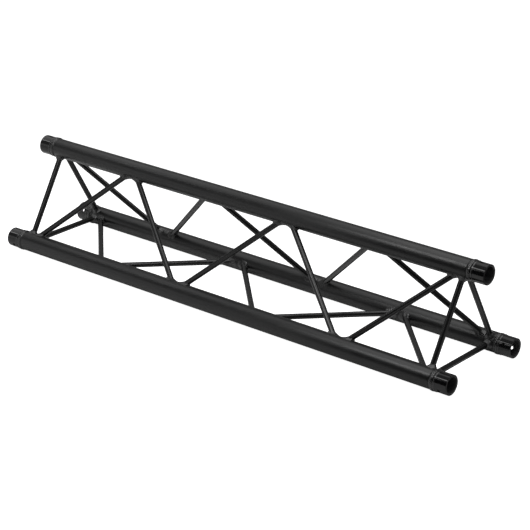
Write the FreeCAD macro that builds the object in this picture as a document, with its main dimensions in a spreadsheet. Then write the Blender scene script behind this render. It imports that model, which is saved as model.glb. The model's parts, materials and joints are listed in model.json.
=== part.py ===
"""Lighting truss section: a straight 1 m length of black triangular three-chord truss.

The section lies along X and stands on its two lower chords. The origin is on the floor under the
middle of the section, +Z is up, and sizes are in millimetres. Three chords run through the corners
of an equilateral triangle. A turned receiver sleeve is welded into each chord end, and tube
struts and diagonals are welded between the chords on all three faces of the triangle.
"""
import FreeCAD, Part
import Sketcher
import math
import os

from FreeCAD import Placement, Rotation, Vector

# Diagonals on each face of the triangle. An odd number lets every chord carry the same pattern.
BAYS = 5

SIZES = {
    "overall_length": 1000,     # rim to rim
    "chord_spacing": 185,       # between chord centres, equal on all three faces
    "chord_diameter": 35,
    "chord_wall": 2,
    "brace_diameter": 10,       # end struts and diagonals
    "brace_wall": 1.5,
    "strut_setback": 15,        # end strut's centreline from the receiver's seam
    "strut_to_foot": 19,        # from an end strut to the foot of the diagonal beside it
    "node_gap": 34,             # between two diagonals' feet where they share a node
    "receiver_head": 30,        # length of receiver outside the chord
    "receiver_spigot": 20,      # length of receiver inside the chord
    "spigot_wall": 1.45,
    "spigot_clearance": 0.05,   # radial, between spigot and chord bore
    "mouth_chamfer": 1,
    "rim_break": 0.5,
    "pin_hole": 6,
    "pin_inset": 15,            # pin hole's centre from the rim
    "seam_groove": 1.4,         # depth of the weld preparation at the seam
    "seam_width": 7.5,
    "seam_height": 1.8,
    "strut_weld_reach": 5,      # how far a weld climbs its strut or diagonal
    "strut_weld_slope": 0.4,    # growth of the weld's radius towards the chord
    "diagonal_weld_reach": 7,
    "diagonal_weld_slope": 0.28,
    "weld_edge": 0.4,           # thickness of a weld's edge on the tube
}

# Worked out from the sizes above, in the sheet's own formulas.
DERIVED = {
    "strut_inset": "receiver_head + strut_setback",
    "feet_span": "overall_length - 2 * strut_inset - 2 * strut_to_foot",
    "node_pitch": "(feet_span + node_gap) / bays",
    "strut_from_bay": "(node_pitch - node_gap) / 2 + strut_to_foot",
    "triangle_radius": "chord_spacing / sqrt(3)",
    "triangle_inradius": "chord_spacing / (2 * sqrt(3))",
    "axis_height": "triangle_inradius + chord_diameter / 2 + seam_height",
    "chord_length": "overall_length - 2 * receiver_head",
    "spigot_radius": "chord_diameter / 2 - chord_wall - spigot_clearance",
    "receiver_bore_radius": "spigot_radius - spigot_wall",
    "seam_cap_radius": "(seam_width * seam_width / 4 + seam_height * seam_height) / (2 * seam_height)",
    "lean_run": "(node_pitch - node_gap) * chord_spacing / (chord_spacing - chord_diameter)",
}

# Turn about X from the top corner of the triangle to each chord.
CHORD_TURNS = {"top": 0, "front": 120, "back": 240}

# Turn about X of each face's frame, whose -Y points outwards and whose +Z crosses the face from
# its first chord to its second.
FACE_TURNS = {"front": -30, "back": -150, "bottom": 90}
FACE_CHORDS = {"front": ("front", "top"), "back": ("top", "back"), "bottom": ("back", "front")}

X_AXIS = Vector(1, 0, 0)
Y_AXIS = Vector(0, 1, 0)
Z_AXIS = Vector(0, 0, 1)

doc = FreeCAD.newDocument("truss_section")
sheet = doc.addObject("Spreadsheet::Sheet", "Dimensions")


def fill_sheet():
    """One row per size: its name, its value and an alias that other objects read."""
    rows = {**SIZES, "bays": BAYS, **DERIVED}
    for row, (name, value) in enumerate(rows.items(), start=1):
        sheet.set(f"A{row}", name)
        sheet.setAlias(f"B{row}", name)
        text = f"={value}" if name in DERIVED else str(value)
        sheet.set(f"B{row}", text)
    doc.recompute()


def linked(formula):
    """The formula with each size's name written as a reference to the sheet."""
    words = []
    for word in formula.split(" "):
        bare = word.strip("()-")
        known = bare in SIZES or bare in DERIVED or bare == "bays"
        words.append(word.replace(bare, "Dimensions." + bare) if known else word)
    return " ".join(words)


def size(formula):
    """The present value of a formula in the sheet's sizes."""
    return float(sheet.evalExpression(linked(formula)))


def bind(item, prop, formula):
    """Ties a property of an object to a formula in the sheet's sizes."""
    item.setExpression(prop, linked(formula))


def label(item, name):
    item.Label = name
    return item


def origin_plane(body, role):
    return next(part for part in body.Origin.OriginFeatures if part.Role == role)


def new_sketch(body, name, role):
    sketch = body.newObject("Sketcher::SketchObject", name)
    sketch.AttachmentSupport = [(origin_plane(body, role), "")]
    sketch.MapMode = "FlatFace"
    return sketch


def fix_point(sketch, edge, end, x_formula, y_formula):
    """Holds one end of a sketch edge at a place given by two formulas."""
    for kind, formula in (("DistanceX", x_formula), ("DistanceY", y_formula)):
        number = sketch.addConstraint(
            Sketcher.Constraint(kind, -1, 1, edge, end, size(formula))
        )
        bind(sketch, f"Constraints[{number}]", formula)


def outline(sketch, corners):
    """A closed outline of straight edges through the corners, each given by two formulas."""
    points = [Vector(size(x), size(y), 0) for x, y in corners]
    count = len(points)
    for start in range(count):
        line = Part.LineSegment(points[start], points[(start + 1) % count])
        sketch.addGeometry(line)
    for edge in range(count):
        following = (edge + 1) % count
        sketch.addConstraint(Sketcher.Constraint("Coincident", edge, 2, following, 1))
        fix_point(sketch, edge, 1, *corners[edge])


def circle(sketch, radius_formula):
    """A circle about the sketch's origin."""
    drawn = Part.Circle(Vector(0, 0, 0), Z_AXIS, size(radius_formula))
    edge = sketch.addGeometry(drawn)
    sketch.addConstraint(Sketcher.Constraint("Coincident", edge, 3, -1, 1))
    number = sketch.addConstraint(
        Sketcher.Constraint("Radius", edge, size(radius_formula))
    )
    bind(sketch, f"Constraints[{number}]", radius_formula)


def revolve(body, sketch):
    """A full turn of the sketch about the body's X axis."""
    turned = body.newObject("PartDesign::Revolution", "Turned")
    turned.Profile = sketch
    turned.ReferenceAxis = (sketch, ["H_Axis"])
    turned.Angle = 360
    return turned


def place(item, turn, x_formula="0", flip=False):
    """Turns a piece about the section's axis, to its chord or face, and sets it along X."""
    rotation = Rotation(X_AXIS, turn)
    if flip:
        rotation = rotation * Rotation(Z_AXIS, 180)
    item.Placement = Placement(Vector(0, 0, 0), rotation)
    bind(item, "Placement.Base.x", x_formula)


def place_on_chord(item, chord, x_formula, flip=False):
    """Sets a piece that is made about its own X axis onto a chord's centreline."""
    turn = CHORD_TURNS[chord]
    place(item, turn, x_formula, flip)
    across = -math.sin(math.radians(turn))
    upward = math.cos(math.radians(turn))
    bind(item, "Placement.Base.y", f"triangle_radius * {across:.9f}")
    bind(item, "Placement.Base.z", f"axis_height + triangle_radius * {upward:.9f}")


def place_on_face(item, face, x_formula):
    """Sets a piece that is made in a face's frame, about the section's axis, onto that face."""
    place(item, FACE_TURNS[face], x_formula)
    bind(item, "Placement.Base.z", "axis_height")


def make_chord(chord):
    """A plain round tube with a weld preparation chamfer round each end."""
    name = f"{chord}_chord"
    body = label(doc.addObject("PartDesign::Body", name), name)
    section = new_sketch(body, "Section", "YZ_Plane")
    circle(section, "chord_diameter / 2")
    circle(section, "chord_diameter / 2 - chord_wall")
    tube = body.newObject("PartDesign::Pad", "Tube")
    tube.Profile = section
    tube.SideType = "Symmetric"
    bind(tube, "Length", "chord_length")
    doc.recompute()
    outer = size("chord_diameter / 2")
    rims = [
        f"Edge{number}"
        for number, edge in enumerate(tube.Shape.Edges, start=1)
        if isinstance(edge.Curve, Part.Circle) and abs(edge.Curve.Radius - outer) < 1e-6
    ]
    preparation = body.newObject("PartDesign::Chamfer", "Weld_preparation")
    preparation.Base = (tube, rims)
    bind(preparation, "Size", "seam_groove")
    place_on_chord(body, chord, "0")
    return body


def make_receiver(chord, side):
    """A turned sleeve: a head as wide as the chord, a spigot inside it and a pin hole across."""
    name = f"{chord}_receiver_{side}"
    body = label(doc.addObject("PartDesign::Body", name), name)
    profile = new_sketch(body, "Profile", "XZ_Plane")
    outer = "chord_diameter / 2"
    groove_floor = "chord_diameter / 2 - seam_groove"
    length = "receiver_head + receiver_spigot"
    outline(profile, [
        ("0", "receiver_bore_radius + mouth_chamfer"),
        ("mouth_chamfer", "receiver_bore_radius"),
        (length, "receiver_bore_radius"),
        (length, "spigot_radius"),
        ("receiver_head", "spigot_radius"),
        ("receiver_head", groove_floor),
        ("receiver_head - seam_groove", outer),
        ("rim_break", outer),
        ("0", "chord_diameter / 2 - rim_break"),
    ])
    revolve(body, profile)
    doc.recompute()
    drill = new_sketch(body, "Pin_circle", "XY_Plane")
    hole = Part.Circle(Vector(size("pin_inset"), 0, 0), Z_AXIS, size("pin_hole / 2"))
    edge = drill.addGeometry(hole)
    fix_point(drill, edge, 3, "pin_inset", "0")
    number = drill.addConstraint(Sketcher.Constraint("Diameter", edge, size("pin_hole")))
    bind(drill, f"Constraints[{number}]", "pin_hole")
    bored = body.newObject("PartDesign::Pocket", "Pin_hole")
    bored.Profile = drill
    bored.SideType = "Symmetric"
    bind(bored, "Length", "chord_diameter + 2 * rim_break")
    at_left = side == "left"
    place_on_chord(body, chord, "-overall_length / 2" if at_left else "overall_length / 2",
                   flip=not at_left)
    return body


def make_seam_weld(chord, side):
    """A ring of weld that fills the groove between receiver and chord and stands proud of both."""
    name = f"{chord}_seam_weld_{side}"
    body = label(doc.addObject("PartDesign::Body", name), name)
    profile = new_sketch(body, "Bead", "XZ_Plane")
    surface = "chord_diameter / 2"
    corners = [
        ("-seam_width / 2", surface),
        ("-seam_groove", surface),
        ("0", "chord_diameter / 2 - seam_groove"),
        ("seam_groove", surface),
        ("seam_width / 2", surface),
    ]
    points = [Vector(size(x), size(y), 0) for x, y in corners]
    for start in range(len(points) - 1):
        profile.addGeometry(Part.LineSegment(points[start], points[start + 1]))
    crown = Vector(0, size("chord_diameter / 2 + seam_height"), 0)
    cap = profile.addGeometry(Part.Arc(points[-1], crown, points[0]))
    for edge in range(len(points) - 2):
        profile.addConstraint(Sketcher.Constraint("Coincident", edge, 2, edge + 1, 1))
    for edge in range(len(points) - 1):
        fix_point(profile, edge, 1, *corners[edge])
    last = len(points) - 2
    fix_point(profile, last, 2, *corners[-1])
    profile.addConstraint(Sketcher.Constraint("Coincident", cap, 1, last, 2))
    profile.addConstraint(Sketcher.Constraint("Coincident", cap, 2, 0, 1))
    number = profile.addConstraint(
        Sketcher.Constraint("Radius", cap, size("seam_cap_radius"))
    )
    bind(profile, f"Constraints[{number}]", "seam_cap_radius")
    revolve(body, profile)
    x_formula = "-chord_length / 2" if side == "left" else "chord_length / 2"
    place_on_chord(body, chord, x_formula)
    return body


def face_tools():
    """Shapes that cut the pieces of a face to size, all in the face's frame about a bay's middle.

    They are the space of each chord, and the face's own share of one bay: a wedge from the
    section's axis outwards, past both chords.
    """
    tools = {}
    for end, z_formula in (("first", "-chord_spacing / 2"), ("second", "chord_spacing / 2")):
        rod = doc.addObject("Part::Cylinder", f"{end}_chord_space")
        bind(rod, "Radius", "chord_diameter / 2")
        bind(rod, "Height", "overall_length")
        rod.Placement = Placement(Vector(0, 0, 0), Rotation(Y_AXIS, 90))
        bind(rod, "Placement.Base.x", "-overall_length / 2")
        bind(rod, "Placement.Base.y", "-triangle_inradius")
        bind(rod, "Placement.Base.z", z_formula)
        tools[end] = rod
    share = doc.addObject("Part::Wedge", "bay_share")
    for prop, formula in {
        "Xmin": "-node_pitch / 2",
        "Xmax": "node_pitch / 2",
        "X2min": "-node_pitch / 2",
        "X2max": "node_pitch / 2",
        "Ymin": "-1.5 * triangle_inradius",
        "Zmin": "-0.75 * chord_spacing",
        "Zmax": "0.75 * chord_spacing",
    }.items():
        bind(share, prop, formula)
    share.Ymax = 0
    share.Z2min = 0
    share.Z2max = 0
    tools["share"] = share
    return tools


def lay_along_brace(item, lean, end="first", x_formula="0"):
    """Lays a cylinder or cone, made along Z, on a brace's centreline in the face's frame.

    lean is 0 for a strut square to the chords, and 1 or -1 for a diagonal that runs right or
    left on its way to the second chord. The item starts on the centreline of the chord at the
    named end and points at the other chord.
    """
    item.Placement = Placement(Vector(0, 0, 0), Rotation(Y_AXIS, 10))
    start = -1 if end == "first" else 1
    about = "" if end == "first" else "180 deg + "
    item.setExpression(
        "Placement.Rotation.Angle",
        about + linked(f"atan( {lean} * lean_run / chord_spacing )"),
    )
    bind(item, "Placement.Base.x", f"{x_formula} + {start * lean} * lean_run / 2")
    bind(item, "Placement.Base.y", "-triangle_inradius")
    bind(item, "Placement.Base.z", f"{start} * chord_spacing / 2")


def rod_along_brace(name, lean, radius_formula, x_formula="0"):
    """A solid rod from one chord's centreline to the other's."""
    rod = doc.addObject("Part::Cylinder", name)
    bind(rod, "Radius", radius_formula)
    bind(rod, "Height", f"sqrt( chord_spacing ^ 2 + ( {lean} * lean_run ) ^ 2 )")
    lay_along_brace(rod, lean, "first", x_formula)
    return rod


def cut(name, base, *cutters):
    """The base with each cutter's space taken out of it in turn."""
    for number, tool in enumerate(cutters):
        piece = doc.addObject("Part::Cut", f"{name}_cut_{number}")
        piece.Base = base
        piece.Tool = tool
        base = piece
    return base


def make_brace(name, tools, face, lean, x_formula):
    """A strut or diagonal: a tube whose ends are coped to sit on the round of both chords."""
    rod = rod_along_brace(f"{name}_rod", lean, "brace_diameter / 2")
    bore = rod_along_brace(f"{name}_bore", lean, "brace_diameter / 2 - brace_wall")
    brace = cut(name, rod, bore, tools["first"], tools["second"])
    place_on_face(brace, face, x_formula)
    return label(brace, name)


def weld_cone(name, kind, lean, end, x_formula="0"):
    """The cone that a weld round a brace's end is part of. It widens towards the chord."""
    cone = doc.addObject("Part::Cone", name)
    length = f"( chord_diameter / 2 * sqrt( 1 + ( {lean} * lean_run / chord_spacing ) ^ 2 )"
    length += f" + {kind}_weld_reach )"
    bind(cone, "Height", length)
    bind(cone, "Radius1", f"brace_diameter / 2 + weld_edge + {kind}_weld_slope * {length}")
    bind(cone, "Radius2", "brace_diameter / 2 + weld_edge")
    lay_along_brace(cone, lean, end, x_formula)
    return cone


def make_weld(name, tools, face, kind, lean, end, x_formula, beside=()):
    """The fillet weld round one end of a brace, kept clear of the chord and of what is beside it."""
    cone = weld_cone(f"{name}_cone", kind, lean, end)
    kept = doc.addObject("Part::Common", f"{name}_kept")
    kept.Base = cone
    kept.Tool = tools["share"]
    rod = rod_along_brace(f"{name}_rod", lean, "brace_diameter / 2")
    weld = cut(name, kept, tools[end], rod, *beside)
    place_on_face(weld, face, x_formula)
    return weld


def strut_beside(end, x_formula):
    """The space of an end strut and its weld, next to the outermost diagonal's foot."""
    name = f"strut_beside_{end}"
    rod = rod_along_brace(f"{name}_rod", 0, "brace_diameter / 2", x_formula)
    return rod, weld_cone(f"{name}_weld", "strut", 0, end, x_formula)


def group(name, members):
    """One node made of separate solids."""
    together = doc.addObject("Part::Compound", name)
    together.Links = members
    return label(together, name)


def make_chords():
    nodes = []
    for chord in CHORD_TURNS:
        nodes.append(make_chord(chord))
        for side in ("left", "right"):
            nodes.append(make_receiver(chord, side))
            nodes.append(make_seam_weld(chord, side))
    return nodes


def make_struts(tools, welds):
    """Two end struts on each face, square to the chords."""
    nodes = []
    for face, chords in FACE_CHORDS.items():
        for side, sign in (("left", "-"), ("right", "")):
            x_formula = f"{sign}( overall_length / 2 - strut_inset )"
            name = f"{face}_strut_{side}"
            nodes.append(make_brace(name, tools, face, 0, x_formula))
            for chord, end in zip(chords, ("first", "second")):
                weld = make_weld(f"{name}_weld_{end}", tools, face, "strut", 0, end, x_formula)
                welds[f"{chord}_chord_strut_welds"].append(weld)
    return nodes


def make_diagonals(tools, welds):
    """A zigzag of diagonals on each face, leaning right and left in turn."""
    nodes = []
    beside = {
        "first": strut_beside("first", "-strut_from_bay"),
        "second": strut_beside("second", "strut_from_bay"),
    }
    for face, chords in FACE_CHORDS.items():
        for bay in range(BAYS):
            lean = 1 if bay % 2 == 0 else -1
            x_formula = f"{bay - (BAYS - 1) / 2} * node_pitch"
            name = f"{face}_diagonal_{bay + 1}"
            nodes.append(make_brace(name, tools, face, lean, x_formula))
            outermost = {0: "first", BAYS - 1: "second"}.get(bay)
            for chord, end in zip(chords, ("first", "second")):
                near = beside[end] if end == outermost else ()
                weld = make_weld(
                    f"{name}_weld_{end}", tools, face, "diagonal", lean, end, x_formula, near
                )
                welds[f"{chord}_chord_diagonal_welds"].append(weld)
    return nodes


def check_document():
    """Stops if any object failed to build."""
    for item in doc.Objects:
        if "Invalid" in item.State or "Error" in item.State:
            raise RuntimeError(f"{item.Label} failed: {item.State}")


def check_shape(node):
    """Stops if a piece is empty or broken."""
    if node.Shape.isNull() or not node.Shape.isValid() or not node.Shape.Solids:
        raise RuntimeError(f"{node.Label} has no valid solid")


def check_holes():
    """Stops if a pin hole took nothing out of its receiver."""
    for item in doc.Objects:
        if item.TypeId == "PartDesign::Pocket":
            if item.Shape.Volume > item.BaseFeature.Shape.Volume - 1:
                raise RuntimeError(f"{item.Label} cut nothing")


def main():
    fill_sheet()
    tools = face_tools()
    kinds = ("strut", "diagonal")
    welds = {f"{chord}_chord_{kind}_welds": [] for chord in CHORD_TURNS for kind in kinds}
    nodes = make_chords() + make_struts(tools, welds) + make_diagonals(tools, welds)
    nodes += [group(name, members) for name, members in welds.items()]
    doc.recompute()
    check_document()
    check_holes()
    for node in nodes:
        check_shape(node)
    os.makedirs("parts", exist_ok=True)
    for node in nodes:
        node.Shape.exportStep(f"parts/{node.Label}.step")
    print(len(nodes), "nodes written")


main()
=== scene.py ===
"""Looks of a black triangular lighting truss section.

The tubes and welds are surfaces worked out from the frame's chord lines and braces; the receivers
keep the frame's own shapes.
Everything is in metres, in the frame's own axes: X along the section, Z up, floor at Z = 0.
"""
import bpy
import json
import math
import numpy as np
from mathutils import Matrix, Vector


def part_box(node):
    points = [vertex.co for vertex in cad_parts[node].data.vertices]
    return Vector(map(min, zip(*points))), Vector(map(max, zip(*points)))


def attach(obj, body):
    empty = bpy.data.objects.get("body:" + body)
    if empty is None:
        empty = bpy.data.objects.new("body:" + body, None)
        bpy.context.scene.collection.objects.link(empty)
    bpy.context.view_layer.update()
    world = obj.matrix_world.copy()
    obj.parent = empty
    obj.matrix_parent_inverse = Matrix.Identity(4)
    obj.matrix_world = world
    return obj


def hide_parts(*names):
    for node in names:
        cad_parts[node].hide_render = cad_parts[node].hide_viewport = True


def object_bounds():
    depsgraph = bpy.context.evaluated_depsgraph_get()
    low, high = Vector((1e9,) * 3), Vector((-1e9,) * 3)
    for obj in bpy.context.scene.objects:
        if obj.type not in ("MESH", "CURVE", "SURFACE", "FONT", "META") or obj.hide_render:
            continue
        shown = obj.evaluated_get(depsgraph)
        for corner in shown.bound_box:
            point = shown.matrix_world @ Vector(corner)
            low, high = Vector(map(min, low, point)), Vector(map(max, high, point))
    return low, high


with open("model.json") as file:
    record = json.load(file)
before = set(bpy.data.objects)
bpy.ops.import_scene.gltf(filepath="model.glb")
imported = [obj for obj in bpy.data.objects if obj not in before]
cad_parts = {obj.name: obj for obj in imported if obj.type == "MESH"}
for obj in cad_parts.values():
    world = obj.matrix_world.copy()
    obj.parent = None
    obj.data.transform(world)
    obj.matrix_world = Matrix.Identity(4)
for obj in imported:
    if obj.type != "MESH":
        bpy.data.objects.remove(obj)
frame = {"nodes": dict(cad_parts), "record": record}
cad_low, cad_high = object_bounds()

CHORDS = ("top", "front", "back")
FACES = {"front": ("front", "top"), "back": ("top", "back"), "bottom": ("back", "front")}
ENDS = {"left": -1, "right": 1}
BAYS = 5                    # diagonals on each face
ALONG = np.array([1.0, 0.0, 0.0])

MOUNTS = {mount["name"]: mount for mount in frame["record"]["mounts"]}
CHORD_RADIUS = MOUNTS["top_receiver_left_pin_hole"]["dims"]["length_mm"] / 2000

# Tubes
BRACE_RADIUS = 0.005
BRACE_CORE = 0.0001         # radius that a brace's hidden ends draw in to
NODE_GAP = 0.034            # between two diagonals' feet at a node
CHORD_WALL = 0.002
GROOVE = 0.0014             # weld preparation at a chord's end
UNDERCUT_WIDTH = 0.0020
UNDERCUT_DEPTH = 0.00055
UNDERCUT_LAP = 0.0002       # how far the undercut starts under the bead

# Welds
SUNK = 0.0006               # how far a weld's hidden edges lie inside the metal
EDGE_SUNK = 0.0001          # how far the edges that show lie inside it
RIPPLE_BOW = 0.9            # how far a ripple lags at the bead's sides, in pitches
RIPPLE_MEAN = 0.6           # share of a ripple's depth that lies below the smooth weld

BEAD_WIDTH = 0.0072
BEAD_HEIGHT = 0.00150
BEAD_WANDER = 0.0003
BEAD_WIDTH_VARIES = 0.08
BEAD_HEIGHT_VARIES = 0.18
BEAD_HEIGHT_MEAN = 0.82     # share of the full height
SEAM_SINK = 0.4             # how far the ripples are let into the bead, in ripple depths
SEAM_PITCH = 0.0036
SEAM_DEPTH = 0.00030
COLLAR_GAP = 0.0010
COLLAR_WIDTH = 0.0032
COLLAR_HEIGHT = 0.00075
COLLAR_SUNK = 0.00005
COLLAR_FOOT = 0.00015       # how far the strip between collar and bead lies inside the metal

RIPPLE_PITCH = 0.0026
RIPPLE_DEPTH = 0.00022
BLOB_TURN = 0.95            # how far a flank's blob lies from the sharp side, in radians
BLOB_SPREAD = 0.42
LEG_VARIES = 0.16
CLIMB_VARIES = 0.18
FILL_VARIES = 0.12
FULLEST = 1.3
BLUNT_POWER = 1.5           # how quickly the blunt side's sizes give way to the sharp side's
FADE_POWER = 0.6            # how quickly ripples and lumps fade out at a fillet's edges
UNDER_CLIMB = 0.8           # share of the climb at which a fillet's hidden side leaves the brace
# Legs run out along the chord and climbs up the brace. A fill of 1 is a straight bevel.
WELD_SIZES = {
    "strut": {"blunt_leg": 0.0044, "sharp_leg": 0.0042, "blunt_climb": 0.0050, "fill": 0.80,
              "sharp_climb": 0.0050, "sharp_fill": 1.00, "lump": 0.00045, "blob": 0.0006},
    "diagonal": {"blunt_leg": 0.0095, "sharp_leg": 0.0020, "blunt_climb": 0.0065, "fill": 0.42,
                 "sharp_climb": 0.0022, "sharp_fill": 1.15, "lump": 0.00045, "blob": 0.0024},
}

# Angles in degrees past which an edge stays sharp
CHORD_CREASE = 25.0
CREASE = 40.0

# Colours
COAT_COLOURS = ((0.0032, 0.0032, 0.0034, 1.0), (0.0055, 0.0055, 0.0058, 1.0))
WELD_COLOURS = ((0.0030, 0.0030, 0.0032, 1.0), (0.0050, 0.0050, 0.0053, 1.0))
GLOSS_COLOURS = ((0.0020, 0.0020, 0.0023, 1.0), (0.0036, 0.0036, 0.0040, 1.0))
# the bore's paler colour is painted light
BORE_PAINTED_LIGHT = (0.055, 0.055, 0.057, 1.0)
SPECK_COLOUR = (0.022, 0.022, 0.023, 1.0)
CLOUD_RANGE = (0.3, 0.7)    # of the cloud noise, from one colour or roughness to the other

# Roughness
SMOOTHER, ROUGHER = 0.04, 0.05      # how far a powder coat's varies either way
GLOSS_ROUGHNESS = (0.07, 0.12)
BORE_DULLER = 0.35

# Patterns of the coat: cells to a metre
SPECK_SCALE = 900.0
SPECK_EDGE = (0.70, 0.78)   # of the speck noise, from bare coat to full speck
CLOUD_SCALE = 22.0
LATHE_SCALE = 2200.0
LATHE_SHARE = 0.35          # of the relief in the gloss coat

AIM_HEIGHT = 0.1            # height on the section that the studio's panels face


def chord_line(chord):
    """The Y and Z of a chord's centreline, as a point at X = 0."""
    place = MOUNTS[f"{chord}_receiver_left_bore"]["pos_m"]
    return np.array([0.0, place[1], place[2]])


def middle(node):
    """The middle of a node's box."""
    low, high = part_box(node)
    return (np.array(low) + np.array(high)) / 2


def braces():
    """Every strut and diagonal: its node, its two chords and the X of its foot on each."""
    found = []
    for face, (first, second) in FACES.items():
        for side in ENDS:
            x = middle(f"{face}_strut_{side}")[0]
            found.append((f"{face}_strut_{side}", first, second, x, x))
        centres = [middle(f"{face}_diagonal_{bay}")[0] for bay in range(1, BAYS + 1)]
        reach = (centres[1] - centres[0] - NODE_GAP) / 2
        for bay, x in enumerate(centres, start=1):
            lean = 1 if bay % 2 else -1
            name = f"{face}_diagonal_{bay}"
            found.append((name, first, second, x - lean * reach, x + lean * reach))
    return found


# ---- meshes ------------------------------------------------------------------------------------

def grid_faces(rows, columns, close_rows, close_columns):
    """Corner numbers of the quads of a grid, whose rows and columns may join up with themselves."""
    down = np.arange(rows if close_rows else rows - 1)
    over = np.arange(columns if close_columns else columns - 1)
    row, column = np.meshgrid(down, over, indexing="ij")
    next_row = (row + 1) % rows
    next_column = (column + 1) % columns
    quads = np.stack([
        row * columns + column,
        row * columns + next_column,
        next_row * columns + next_column,
        next_row * columns + column,
    ], axis=-1)
    return quads.reshape(-1, 4)


def outwards(points, quads):
    """The quads of a closed shape, turned round if they face inwards.

    The sum of each triangle's corner a times the cross product of its corners b and c is six
    times the volume, and is below zero where the faces point inwards.
    """
    a, b, c, d = (points[quads[:, corner]] for corner in range(4))
    volume = (a * np.cross(b, c)).sum() + (a * np.cross(c, d)).sum()
    return quads if volume > 0 else quads[:, ::-1]


def piece(name, points, faces, material, replaced, crease=CREASE):
    """A mesh object from an array of points and an array of quads, which rides on the section."""
    mesh = bpy.data.meshes.new(name)
    points = np.asarray(points).reshape(-1, 3)
    faces = np.ascontiguousarray(outwards(points, faces), dtype=np.int32)
    mesh.vertices.add(len(points))
    mesh.vertices.foreach_set("co", points.astype(np.float32).ravel())
    mesh.loops.add(faces.size)
    mesh.loops.foreach_set("vertex_index", faces.ravel())
    mesh.polygons.add(len(faces))
    starts = np.arange(0, faces.size, faces.shape[1], dtype=np.int32)
    mesh.polygons.foreach_set("loop_start", starts)
    mesh.update(calc_edges=True)
    mesh.validate()
    mesh.polygons.foreach_set("use_smooth", np.ones(len(mesh.polygons), dtype=bool))
    mesh.set_sharp_from_angle(angle=math.radians(crease))
    mesh.materials.append(material)
    made = bpy.data.objects.new(name, mesh)
    bpy.context.scene.collection.objects.link(made)
    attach(made, "root")
    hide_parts(replaced)


def around(chord, x, radius, angle):
    """Points on a round about a chord: radius and angle as arrays, angle 0 straight up."""
    centre = chord_line(chord)
    x, radius, angle = np.broadcast_arrays(x, radius, angle)
    return np.stack([
        x,
        centre[1] + radius * np.sin(angle),
        centre[2] + radius * np.cos(angle),
    ], axis=-1)


def full_turn(steps):
    """Evenly spaced angles round a circle, from 0 to one step short of a full turn."""
    return np.linspace(0, 2 * math.pi, steps, endpoint=False)


def wobble(rng, angle, waves, fall=1.0):
    """A smooth closed curve round a circle: a sum of cosines with random phases, about -1 to 1."""
    total = np.zeros_like(angle)
    for wave in range(1, waves + 1):
        total += np.cos(wave * angle + rng.uniform(0, 2 * math.pi)) / wave ** fall
    return total / np.abs(total).max()


# ---- chords ------------------------------------------------------------------------------------

def undercut(seam, inwards):
    """The small groove that the heat leaves beside a seam weld, as (X, radius) pairs.

    Its depth is the square of a half sine wave across its width.
    """
    start = BEAD_WIDTH / 2 - UNDERCUT_LAP
    across = np.linspace(0, 1, 7)
    depth = UNDERCUT_DEPTH * np.sin(math.pi * across) ** 2
    return [
        (seam + inwards * (start + UNDERCUT_WIDTH * share), CHORD_RADIUS - dip)
        for share, dip in zip(across, depth)
    ]


def chord_profile(left, right):
    """Half section of a chord tube: chamfered ends, and an undercut beside each seam weld."""
    outer = CHORD_RADIUS
    inner = CHORD_RADIUS - CHORD_WALL
    points = [(left, inner), (left, outer - GROOVE), (left + GROOVE, outer)]
    points += undercut(left, 1)
    points += undercut(right, -1)[::-1]
    points += [(right - GROOVE, outer), (right, outer - GROOVE), (right, inner)]
    return points


def make_chord(chord):
    """A chord tube: its half section, a closed outline, carried round the chord's centreline."""
    node = f"{chord}_chord"
    low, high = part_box(node)
    outline = np.array(chord_profile(low[0], high[0]))
    steps = 192
    points = around(chord, outline[:, :1], outline[:, 1:], full_turn(steps)[None, :])
    faces = grid_faces(len(outline), steps, True, True)
    piece(f"{node}_tube", points, faces, COAT, node, CHORD_CREASE)


# ---- struts and diagonals ----------------------------------------------------------------------

class Foot:
    """Where one end of a brace meets a chord, with the directions that its shapes are made in.

    away is the chord's own direction across the face, normal points out of the face, along is the
    brace's own direction away from the chord and blunt is square to it, on the side where brace
    and chord meet at the wider angle.
    """

    def __init__(self, chord, other, x, other_x):
        self.centre = chord_line(chord)
        across = chord_line(other) - self.centre
        self.away = across / np.linalg.norm(across)
        self.normal = np.cross(ALONG, self.away)
        self.place = self.centre + x * ALONG + CHORD_RADIUS * self.away
        far = chord_line(other) + other_x * ALONG - CHORD_RADIUS * self.away
        run = far - self.place
        self.along = run / np.linalg.norm(run)
        self.lean = self.along @ ALONG
        self.rise = self.along @ self.away
        self.hand = -1.0 if self.lean > 0 else 1.0
        self.blunt = self.hand * self.rise * ALONG + abs(self.lean) * self.away

    def outward(self, angle):
        """Directions square to the brace, at angles round it from its blunt side."""
        return np.cos(angle)[..., None] * self.blunt + np.sin(angle)[..., None] * self.normal

    def meets(self, angle, radius, chord_radius):
        """Distance along the brace at which the line at this angle and radius meets the chord."""
        height = np.sqrt(chord_radius ** 2 - (radius * np.sin(angle)) ** 2)
        return (height - CHORD_RADIUS - radius * np.cos(angle) * abs(self.lean)) / self.rise

    def on_brace(self, angle, radius, distance):
        """Points at an angle and radius round the brace and a distance along it."""
        radius, distance = np.broadcast_arrays(radius, distance)
        return (self.place + radius[..., None] * self.outward(angle)
                + distance[..., None] * self.along)

    def on_chord(self, x, arc, radius):
        """Points on the chord: X from the foot, arc length round it from the face, and radius."""
        turn = arc / CHORD_RADIUS
        return (self.centre + (self.place @ ALONG + x)[..., None] * ALONG
                + (radius * np.cos(turn))[..., None] * self.away
                + (radius * np.sin(turn))[..., None] * self.normal)


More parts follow.
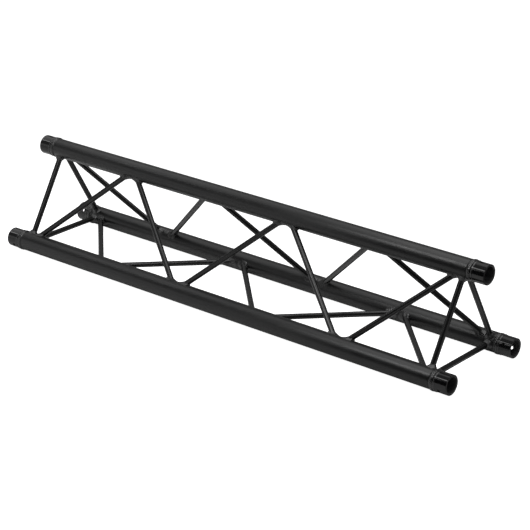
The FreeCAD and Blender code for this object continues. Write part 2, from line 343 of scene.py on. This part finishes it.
def make_brace(node, first, second, x, other_x):
    """A round bar between two chords: rings round its axis, each end cut to the chord's round.

    A line at each angle runs from where it meets one chord's wall to where it meets the other's,
    a little inside the wall, and each end draws in towards the brace's own axis.
    """
    foot = Foot(first, second, x, other_x)
    far = Foot(second, first, other_x, x)
    steps, rings = 64, 12
    angle = full_turn(steps)
    length = np.linalg.norm(far.place - foot.place)
    wall = CHORD_RADIUS - SUNK
    near_end = foot.meets(angle, BRACE_RADIUS, wall)
    turned = np.arctan2(foot.outward(angle) @ far.normal, foot.outward(angle) @ far.blunt)
    far_end = length - far.meets(turned, BRACE_RADIUS, wall)
    rows = [foot.on_brace(angle, BRACE_CORE, np.full(steps, near_end.mean()))]
    for share in np.linspace(0, 1, rings):
        rows.append(foot.on_brace(angle, BRACE_RADIUS, near_end + share * (far_end - near_end)))
    rows.append(foot.on_brace(angle, BRACE_CORE, np.full(steps, far_end.mean())))
    faces = grid_faces(len(rows), steps, False, True)
    piece(f"{node}_tube", np.concatenate(rows), faces, BRACE_COAT, node)


# ---- welds -------------------------------------------------------------------------------------

def dimes(arc, across, pitch, depth):
    """Ripples of a weld: round ridges a pitch apart along the bead, bowed across it.

    Their height is the depth times the size of a sine wave along the bead, less its mean. The
    wave lags by the square of the distance from the bead's middle.
    """
    bow = RIPPLE_BOW * (across * 2 - 1) ** 2
    phase = math.pi * (arc / pitch + bow)
    return depth * (np.abs(np.sin(phase)) - RIPPLE_MEAN)


def foot_weld(foot, kind, rng):
    """The fillet round a brace's foot, as a closed band of points.

    Round the brace, its upper edge is a climb above the chord and its lower edge is a leg out from
    the brace, each with its own size on the blunt side and on the sharp side, and with a blob at
    each flank where the torch stopped short of the crevice. Between the edges runs a quadratic
    curve drawn towards the corner, with ripples and lumps square to it, and the hidden side runs
    back through the metal.
    """
    size = WELD_SIZES[kind]
    steps, cross = 208, 20
    angle = full_turn(steps)

    # How far the two edges lie from the corner, from the sharp side's sizes to the blunt side's.
    share = ((1 + np.cos(angle)) / 2) ** BLUNT_POWER
    from_sharp = np.abs(angle - math.pi)
    blob = np.exp(-((from_sharp - BLOB_TURN) / BLOB_SPREAD) ** 2) * size["blob"]
    leg = size["sharp_leg"] + (size["blunt_leg"] - size["sharp_leg"]) * share + blob
    climb = size["sharp_climb"] + (size["blunt_climb"] - size["sharp_climb"]) * share + blob
    leg = leg * (1 + LEG_VARIES * wobble(rng, angle, 7))
    climb = climb * (1 + CLIMB_VARIES * wobble(rng, angle, 6))

    # The corner where brace and chord meet, the upper edge and the toe on the chord.
    meet = foot.meets(angle, BRACE_RADIUS, CHORD_RADIUS)
    corner = foot.on_brace(angle, np.full(steps, BRACE_RADIUS), meet)
    corner_x = corner @ ALONG - foot.place @ ALONG
    corner_arc = CHORD_RADIUS * np.arcsin(BRACE_RADIUS * np.sin(angle) / CHORD_RADIUS)
    out_x = foot.hand * foot.rise * np.cos(angle)
    out_arc = np.sin(angle)
    out = np.hypot(out_x, out_arc)
    top = foot.on_brace(angle, BRACE_RADIUS - EDGE_SUNK, meet + climb)
    toe = foot.on_chord(corner_x + leg * out_x / out, corner_arc + leg * out_arc / out,
                        CHORD_RADIUS - EDGE_SUNK)

    # The quadratic curve between them: fill is 0 where it is drawn right into the corner, and 1
    # where it runs straight from edge to edge.
    fill = size["sharp_fill"] + (size["fill"] - size["sharp_fill"]) * share
    fill = np.clip(fill + FILL_VARIES * wobble(rng, angle, 9, 0.6), 0.0, FULLEST)[:, None, None]
    pull = corner[:, None] * (1 - fill) + (top + toe)[:, None] / 2 * fill
    step = np.linspace(0, 1, cross)
    over = step[None, :, None]
    band = ((1 - over) ** 2 * top[:, None] + 2 * over * (1 - over) * pull
            + over ** 2 * toe[:, None])

    # Directions square to the band, away from the corner.
    round_way = np.roll(band, -1, axis=0) - np.roll(band, 1, axis=0)
    square = np.cross(round_way, np.gradient(band, axis=1))
    square /= np.linalg.norm(square, axis=-1, keepdims=True) + 1e-12
    outside = band - corner[:, None]
    square *= np.where((square * outside).sum(-1, keepdims=True) < 0, -1.0, 1.0)

    # Ripples, as many as fit round the toe, and lumps, both fading out at the edges.
    arc = np.cumsum(np.linalg.norm(np.roll(toe, -1, axis=0) - toe, axis=1))
    pitches = round(arc[-1] / RIPPLE_PITCH)
    raised = dimes(arc[:, None] / arc[-1] * pitches * RIPPLE_PITCH, step[None, :],
                   RIPPLE_PITCH, RIPPLE_DEPTH)
    raised = raised + size["lump"] * wobble(rng, angle, 8, 0.5)[:, None]
    fade = np.sin(math.pi * step) ** FADE_POWER
    band = band + square * (raised * fade[None, :])[..., None]

    under_top = foot.on_brace(angle, BRACE_RADIUS - SUNK, meet + climb * UNDER_CLIMB)
    under_toe = foot.on_chord(corner_x, corner_arc, CHORD_RADIUS - SUNK)
    closed = np.concatenate([band, under_toe[:, None], under_top[:, None]], axis=1)
    return closed.reshape(-1, 3), grid_faces(steps, cross + 2, True, True)


def make_foot_welds(chord, kind, feet, rng):
    """All the fillets of one kind along one chord, as one piece."""
    points, faces, count = [], [], 0
    for foot in feet:
        ring, quads = foot_weld(foot, kind, rng)
        points.append(ring)
        faces.append(outwards(ring, quads) + count)
        count += len(ring)
    name = f"{chord}_chord_{kind}_fillets"
    node = f"{chord}_chord_{kind}_welds"
    piece(name, np.concatenate(points), np.concatenate(faces), WELD, node)


def collar_profile(seam, inwards):
    """Half section of the low collar that the coat leaves on the receiver, outside the bead.

    Its top is half an ellipse, from the far edge to the near one.
    """
    near = seam - inwards * (BEAD_WIDTH / 2 + COLLAR_GAP)
    far = near - inwards * COLLAR_WIDTH
    turn = np.linspace(0, math.pi, 9)
    rise = COLLAR_HEIGHT * np.sin(turn)
    middle_x, half = (near + far) / 2, COLLAR_WIDTH / 2
    ring = [
        (middle_x - inwards * half * math.cos(angle), CHORD_RADIUS - COLLAR_SUNK + height)
        for angle, height in zip(turn, rise)
    ]
    return [(far, CHORD_RADIUS - SUNK)] + ring + [(near, CHORD_RADIUS - COLLAR_FOOT)]


def make_seam_weld(chord, side, rng):
    """The bead round a seam, and the collar beside it: a section carried round the chord.

    Across the bead, its height falls with the fourth power of the distance from its middle.
    Height and width vary smoothly round the ring, the middle wanders a little along X, and bowed
    ripples run along it.
    """
    node = f"{chord}_seam_weld_{side}"
    seam = middle(node)[0]
    inwards = -ENDS[side]
    steps, cross = 480, 26
    angle = full_turn(steps)
    across = np.linspace(-1, 1, cross)
    half = BEAD_WIDTH / 2 * (1 + BEAD_WIDTH_VARIES * wobble(rng, angle, 11, 0.6))
    wander = BEAD_WANDER * wobble(rng, angle, 5)
    uneven = wobble(rng, angle, 12, 0.3)
    height = BEAD_HEIGHT * (BEAD_HEIGHT_MEAN + BEAD_HEIGHT_VARIES * uneven)
    crown = 1 - np.abs(across) ** 4
    pitches = round(2 * math.pi * CHORD_RADIUS / SEAM_PITCH)
    arc = angle / (2 * math.pi) * pitches * SEAM_PITCH
    ripple = dimes(arc[:, None], (across[None, :] + 1) / 2, SEAM_PITCH, SEAM_DEPTH)
    lift = height[:, None] * crown + (ripple - SEAM_SINK * SEAM_DEPTH) * crown
    x = seam + wander[:, None] + half[:, None] * across
    bead = around(chord, x, CHORD_RADIUS - EDGE_SUNK + lift, angle[:, None])
    if inwards < 0:
        bead = bead[:, ::-1]
    collar = np.array(collar_profile(seam, inwards))
    outer = around(chord, collar[None, :, 0], collar[None, :, 1], angle[:, None])
    under = around(chord, seam + half[:, None] * np.array([0.5, -0.5]) * inwards,
                   CHORD_RADIUS - SUNK, angle[:, None])
    points = np.concatenate([outer, bead, under], axis=1)
    faces = grid_faces(steps, points.shape[1], True, True)
    piece(f"{node}_bead", points, faces, WELD, node)


# ---- finishes ----------------------------------------------------------------------------------

def new_group(name, inputs, outputs):
    """An empty shader group with named inputs, each with a default, and named outputs."""
    group = bpy.data.node_groups.new(name, "ShaderNodeTree")
    for title, value in inputs:
        socket = group.interface.new_socket(
            name=title, in_out="INPUT", socket_type="NodeSocketFloat")
        socket.default_value = value
    for title in outputs:
        group.interface.new_socket(name=title, in_out="OUTPUT", socket_type="NodeSocketFloat")
    entry = group.nodes.new("NodeGroupInput")
    leave = group.nodes.new("NodeGroupOutput")
    return group, entry, leave


def set_or_link(tree, socket, value):
    """Give a socket a plain value, or link it to the socket that the value comes from."""
    if isinstance(value, (int, float, tuple)):
        socket.default_value = value
    else:
        tree.links.new(value, socket)


def noise(tree, place, scale, detail, roughness):
    """Soft noise, 0 to 1, over places in metres."""
    node = tree.nodes.new("ShaderNodeTexNoise")
    tree.links.new(place, node.inputs["Vector"])
    set_or_link(tree, node.inputs["Scale"], scale)
    node.inputs["Detail"].default_value = detail
    node.inputs["Roughness"].default_value = roughness
    return node.outputs["Fac"]


def remap(tree, value, low, high, to_low, to_high):
    """A value's range from low to high, stretched to run from to_low to to_high."""
    node = tree.nodes.new("ShaderNodeMapRange")
    tree.links.new(value, node.inputs["Value"])
    for title, setting in (("From Min", low), ("From Max", high),
                           ("To Min", to_low), ("To Max", to_high)):
        node.inputs[title].default_value = setting
    return node.outputs["Result"]


def sums(tree, operation, first, second):
    """The result of one sum on two values."""
    node = tree.nodes.new("ShaderNodeMath")
    node.operation = operation
    set_or_link(tree, node.inputs[0], first)
    set_or_link(tree, node.inputs[1], second)
    return node.outputs["Value"]


def mix_colours(tree, share, first, second):
    """The first colour where share is 0, the second where it is 1."""
    node = tree.nodes.new("ShaderNodeMix")
    node.data_type = "RGBA"
    tree.links.new(share, node.inputs["Factor"])
    set_or_link(tree, node.inputs["A"], first)
    set_or_link(tree, node.inputs["B"], second)
    return node.outputs["Result"]


def object_place(tree):
    """Places on the surface, in metres, in the frame's own axes."""
    return tree.nodes.new("ShaderNodeTexCoord").outputs["Object"]


def coat_grain_group():
    """The skin of a sprayed and baked coat: fine grain over soft orange peel, with small specks."""
    group, entry, leave = new_group(
        "coat_grain",
        [("Grain Scale", 1600.0), ("Peel Scale", 260.0), ("Grain Height", 0.5),
         ("Peel Height", 0.5)],
        ["Height", "Speck", "Cloud"],
    )
    place = object_place(group)
    grain = noise(group, place, entry.outputs["Grain Scale"], 3.0, 0.6)
    peel = noise(group, place, entry.outputs["Peel Scale"], 1.0, 0.4)
    grain_part = sums(group, "MULTIPLY", grain, entry.outputs["Grain Height"])
    peel_part = sums(group, "MULTIPLY", peel, entry.outputs["Peel Height"])
    height = sums(group, "ADD", grain_part, peel_part)
    speck = remap(group, noise(group, place, SPECK_SCALE, 1.0, 0.5), *SPECK_EDGE, 0.0, 1.0)
    cloud = noise(group, place, CLOUD_SCALE, 3.0, 0.55)
    group.links.new(height, leave.inputs["Height"])
    group.links.new(speck, leave.inputs["Speck"])
    group.links.new(cloud, leave.inputs["Cloud"])
    return group


def new_finish(name):
    """A material with its node tree and its Principled shader."""
    material = bpy.data.materials.new(name)
    material.use_nodes = True
    tree = material.node_tree
    shader = next(node for node in tree.nodes if node.type == "BSDF_PRINCIPLED")
    return material, tree, shader


def add_grain(tree, **settings):
    """The coat's skin, placed in a material with its own values."""
    node = tree.nodes.new("ShaderNodeGroup")
    node.node_tree = GRAIN
    for title, value in settings.items():
        node.inputs[title.replace("_", " ")].default_value = value
    return node


def relief(tree, height, strength, distance, shader):
    """Fine relief on the shader's normal."""
    bump = tree.nodes.new("ShaderNodeBump")
    bump.inputs["Strength"].default_value = strength
    bump.inputs["Distance"].default_value = distance
    tree.links.new(height, bump.inputs["Height"])
    tree.links.new(bump.outputs["Normal"], shader.inputs["Normal"])


def powder_coat(name, rough, colours, strength, ior, **settings):
    """A black powder coat: near black, a little cloudy, with fine grain and specks."""
    material, tree, shader = new_finish(name)
    grain = add_grain(tree, **settings)
    cloud = remap(tree, grain.outputs["Cloud"], *CLOUD_RANGE, 0.0, 1.0)
    base = mix_colours(tree, cloud, *colours)
    colour = mix_colours(tree, grain.outputs["Speck"], base, SPECK_COLOUR)
    tree.links.new(colour, shader.inputs["Base Color"])
    smooth = remap(tree, grain.outputs["Cloud"], *CLOUD_RANGE, rough - SMOOTHER, rough + ROUGHER)
    tree.links.new(smooth, shader.inputs["Roughness"])
    shader.inputs["IOR"].default_value = ior
    relief(tree, grain.outputs["Height"], strength, 0.00005, shader)
    return material


def inside_bore(tree, place, chord):
    """1 in a receiver's bore and 0 outside it, by the distance from the chord's centreline."""
    across = tree.nodes.new("ShaderNodeVectorMath")
    across.operation = "MULTIPLY"
    across.inputs[1].default_value = (0.0, 1.0, 1.0)
    tree.links.new(place, across.inputs[0])
    away = tree.nodes.new("ShaderNodeVectorMath")
    away.operation = "DISTANCE"
    away.inputs[1].default_value = chord_line(chord)
    tree.links.new(across.outputs["Vector"], away.inputs[0])
    bore_to, head_from = CHORD_RADIUS - 0.0030, CHORD_RADIUS - 0.0025
    return remap(tree, away.outputs["Value"], bore_to, head_from, 1.0, 0.0)


def lathe_rings(tree, place):
    """The lathe's faint rings: noise that varies only along X."""
    rings = tree.nodes.new("ShaderNodeTexNoise")
    rings.noise_dimensions = "1D"
    along = tree.nodes.new("ShaderNodeSeparateXYZ")
    tree.links.new(place, along.inputs["Vector"])
    tree.links.new(along.outputs["X"], rings.inputs["W"])
    rings.inputs["Scale"].default_value = LATHE_SCALE
    rings.inputs["Detail"].default_value = 2.0
    return rings.outputs["Fac"]


def turned_gloss(name, chord):
    """A gloss black coat over a turned sleeve, duller in the bore, and paler there as painted light
    on the bore's dark inside.
    """
    material, tree, shader = new_finish(name)
    grain = add_grain(tree, Grain_Scale=700.0, Peel_Scale=160.0,
                      Grain_Height=0.15, Peel_Height=0.6)
    place = object_place(tree)
    ring_part = sums(tree, "MULTIPLY", lathe_rings(tree, place), LATHE_SHARE)
    height = sums(tree, "ADD", grain.outputs["Height"], ring_part)
    cloud = remap(tree, grain.outputs["Cloud"], *CLOUD_RANGE, 0.0, 1.0)
    colour = mix_colours(tree, cloud, *GLOSS_COLOURS)
    # Painted light: the bore's inside is paler than the coat, in place of light that reaches into
    # the bore.
    in_bore = inside_bore(tree, place, chord)
    colour = mix_colours(tree, in_bore, colour, BORE_PAINTED_LIGHT)
    tree.links.new(colour, shader.inputs["Base Color"])
    gloss = remap(tree, grain.outputs["Cloud"], *CLOUD_RANGE, *GLOSS_ROUGHNESS)
    smooth = sums(tree, "ADD", gloss, sums(tree, "MULTIPLY", in_bore, BORE_DULLER))
    tree.links.new(smooth, shader.inputs["Roughness"])
    shader.inputs["IOR"].default_value = 1.52
    relief(tree, height, 0.35, 0.00003, shader)
    return material


def dress_receiver(chord, side):
    """The frame's own receiver keeps its shape and takes the gloss finish."""
    node = frame["nodes"][f"{chord}_receiver_{side}"]
    if not node.material_slots:
        node.data.materials.append(GLOSS[chord])
    for slot in node.material_slots:
        slot.material = GLOSS[chord]


# ---- studio ------------------------------------------------------------------------------------

def studio_camera():
    """A long lens, from the right, the front and above."""
    azimuth, elevation, roll = (math.radians(angle) for angle in (39.455, 22.103, 0.452))
    distance, aside, above = 3.3756, 0.02975, -0.00743
    centre = sum(chord_line(chord) for chord in CHORDS) / len(CHORDS)
    back = Vector((
        math.sin(azimuth) * math.cos(elevation),
        -math.cos(azimuth) * math.cos(elevation),
        math.sin(elevation),
    ))
    right = Vector((math.cos(azimuth), math.sin(azimuth), 0.0))
    up = back.cross(right)
    eye = Vector(centre) + right * aside + up * above + back * distance
    level = right * math.cos(roll) + up * math.sin(roll)
    upright = up * math.cos(roll) - right * math.sin(roll)
    camera = bpy.data.cameras.new("studio_camera")
    camera.sensor_width = 36.0
    camera.lens = 130.14
    camera.clip_start, camera.clip_end = 0.1, 100.0
    made = bpy.data.objects.new("studio_camera", camera)
    made.matrix_world = Matrix((
        (level.x, upright.x, back.x, eye.x),
        (level.y, upright.y, back.y, eye.y),
        (level.z, upright.z, back.z, eye.z),
        (0.0, 0.0, 0.0, 1.0),
    ))
    bpy.context.scene.collection.objects.link(made)
    bpy.context.scene.camera = made


def hang_panel(name, place, along, facing, width, height, brightness):
    """A flat white panel that lights one way, evenly bright, and stays out of the picture.

    Its width runs along one direction, and it lights away from the other, which is square to it.
    """
    light = bpy.data.lights.new(name, "AREA")
    light.shape = "RECTANGLE"
    light.size, light.size_y = width, height
    light.energy = math.pi * width * height * brightness
    made = bpy.data.objects.new(name, light)
    made.matrix_world = Matrix.Translation(place) @ Matrix((
        along, facing.cross(along), facing,
    )).transposed().to_4x4()
    made.visible_camera = False
    bpy.context.scene.collection.objects.link(made)


def soft_panel(name, place, aim_x, width, height, brightness):
    """A panel with its width along the section, which faces the section at an X of its own."""
    facing = (Vector(place) - Vector((aim_x, 0.0, AIM_HEIGHT))).normalized()
    section = Vector(ALONG)
    along = section - facing * section.dot(facing)
    along.normalize()
    hang_panel(name, place, along, facing, width, height, brightness)


def front_box(name, x, angle, distance, width, height, brightness):
    """A soft panel at an X, at an angle above the horizon in front of the section."""
    turn = math.radians(angle)
    place = (x, -distance * math.cos(turn), distance * math.sin(turn))
    soft_panel(name, place, x, width, height, brightness)


def seen_by_camera(tree):
    """1 for what is looked at directly, 0 for what a surface mirrors or is lit by."""
    return tree.nodes.new("ShaderNodeLightPath").outputs["Is Camera Ray"]


def grey(value):
    """An opaque grey."""
    return (value, value, value, 1.0)


def stage_sheet(name, corners, material):
    """A flat four-cornered part of the studio."""
    mesh = bpy.data.meshes.new(name)
    mesh.from_pydata(corners, [], [(0, 1, 2, 3)])
    mesh.materials.append(material)
    made = bpy.data.objects.new(name, mesh)
    bpy.context.scene.collection.objects.link(made)
    return made


def studio_floor():
    """A wide pale floor, level with the section's lowest point, that looks white and unshaded.

    What the section mirrors of it has painted shade behind the section and past its right end,
    and a narrow strip of painted light under the section.
    """
    material, tree, shader = new_finish("pale_floor")
    place = tree.nodes.new("ShaderNodeSeparateXYZ")
    tree.links.new(object_place(tree), place.inputs["Vector"])
    # Painted shade in what the section mirrors: darker behind it and past its right end.
    behind = remap(tree, place.outputs["Y"], 0.12, 0.45, 0.0, 1.0)
    beyond = remap(tree, place.outputs["X"], 0.48, 0.56, 0.0, 1.0)
    painted_shade_mask = sums(tree, "MAXIMUM", behind, beyond)
    shade = mix_colours(tree, painted_shade_mask, grey(0.72), grey(0.20))
    # Painted light: a bright strip under the section, in what the section mirrors.
    painted_light_middle = 0.045
    aside = sums(tree, "SUBTRACT", place.outputs["Y"], painted_light_middle)
    painted_light_strip = remap(tree, sums(tree, "ABSOLUTE", aside, 0.0), 0.03, 0.06, 1.0, 0.0)
    shade = mix_colours(tree, painted_light_strip, shade, grey(0.97))
    tree.links.new(shade, shader.inputs["Base Color"])
    shader.inputs["Roughness"].default_value = 0.9
    shader.inputs["Emission Color"].default_value = grey(1.0)
    tree.links.new(seen_by_camera(tree), shader.inputs["Emission Strength"])
    reach, level = 12.0, cad_low[2]
    stage_sheet("studio_floor", [
        (-reach, -reach, level), (reach, -reach, level),
        (reach, reach, level), (-reach, reach, level),
    ], material)


def black_card():
    """A black card that stands in front of the right end, where the lens doesn't see it: a dark
    sheet that puts painted shade into what the glossy parts mirror.
    """
    material, _, shader = new_finish("black_card")
    shader.inputs["Base Color"].default_value = grey(0.004)
    shader.inputs["Roughness"].default_value = 1.0
    left, right, ahead, foot, head = -0.085, 1.7, -0.8, 0.02, 0.75
    card = stage_sheet("black_card", [
        (left, ahead, foot), (right, ahead, foot), (right, ahead, head), (left, ahead, head),
    ], material)
    card.visible_camera = False


def studio_world():
    """A room that is pale to look at, and grey in what the surfaces mirror."""
    world = bpy.data.worlds.new("studio")
    world.use_nodes = True
    tree = world.node_tree
    background = next(node for node in tree.nodes if node.type == "BACKGROUND")
    shade = mix_colours(tree, seen_by_camera(tree), grey(0.2), grey(0.95))
    tree.links.new(shade, background.inputs["Color"])
    bpy.context.scene.world = world


def studio_panels():
    """Three ceiling panels, four smaller ones above the front, and three low walls.

    Each line gives a panel's place, then where it faces, its width, height and brightness. The
    ones above the front are placed by an X, an angle above the horizon and a distance.
    """
    soft_panel("overhead_panel", (0.3, 0.3, 2.3), 0.3, 1.9, 2.2, 1.75)
    soft_panel("left_ceiling", (-2.2, 0.4, 2.1), -1.2, 2.0, 2.6, 0.70)
    soft_panel("middle_ceiling", (-0.93, 0.95, 2.1), -0.93, 0.54, 1.4, 0.55)
    front_box("right_box", 0.25, 56.0, 1.3, 0.60, 0.34, 6.2)
    front_box("box_edge", -0.21, 56.0, 1.3, 0.32, 0.20, 2.9)
    front_box("box_skirt", -0.20, 37.0, 1.3, 0.40, 0.30, 2.2)
    front_box("left_strip", -2.03, 67.0, 1.7, 0.38, 0.16, 4.2)
    soft_panel("left_wall", (-2.56, -1.7, 0.42), -1.6, 3.28, 0.8, 0.5)
    soft_panel("front_wall", (0.25, -2.3, 0.45), 0.25, 2.6, 0.8, 0.65)
    hang_panel("right_wall", (2.4, 0.5, 0.6), Vector((0.0, 1.0, 0.0)), Vector((1.0, 0.0, 0.0)),
               2.0, 1.0, 0.45)


# ---- the section -------------------------------------------------------------------------------

bpy.context.scene.view_settings.view_transform = "Standard"
GRAIN = coat_grain_group()
COAT = powder_coat("black_powder_coat", 0.36, COAT_COLOURS, 0.5, 1.5)
BRACE_COAT = powder_coat("brace_powder_coat", 0.24, COAT_COLOURS, 0.4, 1.5)
WELD = powder_coat("coated_weld", 0.22, WELD_COLOURS, 0.3, 1.7, Grain_Scale=900.0)
GLOSS = {chord: turned_gloss(f"gloss_{chord}_receiver", chord) for chord in CHORDS}

rng = np.random.default_rng(7)
for chord in CHORDS:
    make_chord(chord)
    for side in ENDS:
        dress_receiver(chord, side)
        make_seam_weld(chord, side, rng)
feet = {(chord, kind): [] for chord in CHORDS for kind in WELD_SIZES}
for node, first, second, x, other_x in braces():
    make_brace(node, first, second, x, other_x)
    kind = "strut" if x == other_x else "diagonal"
    feet[first, kind].append(Foot(first, second, x, other_x))
    feet[second, kind].append(Foot(second, first, other_x, x))
for (chord, kind), places in feet.items():
    make_foot_welds(chord, kind, places, rng)

studio_camera()
studio_floor()
black_card()
studio_world()
studio_panels()
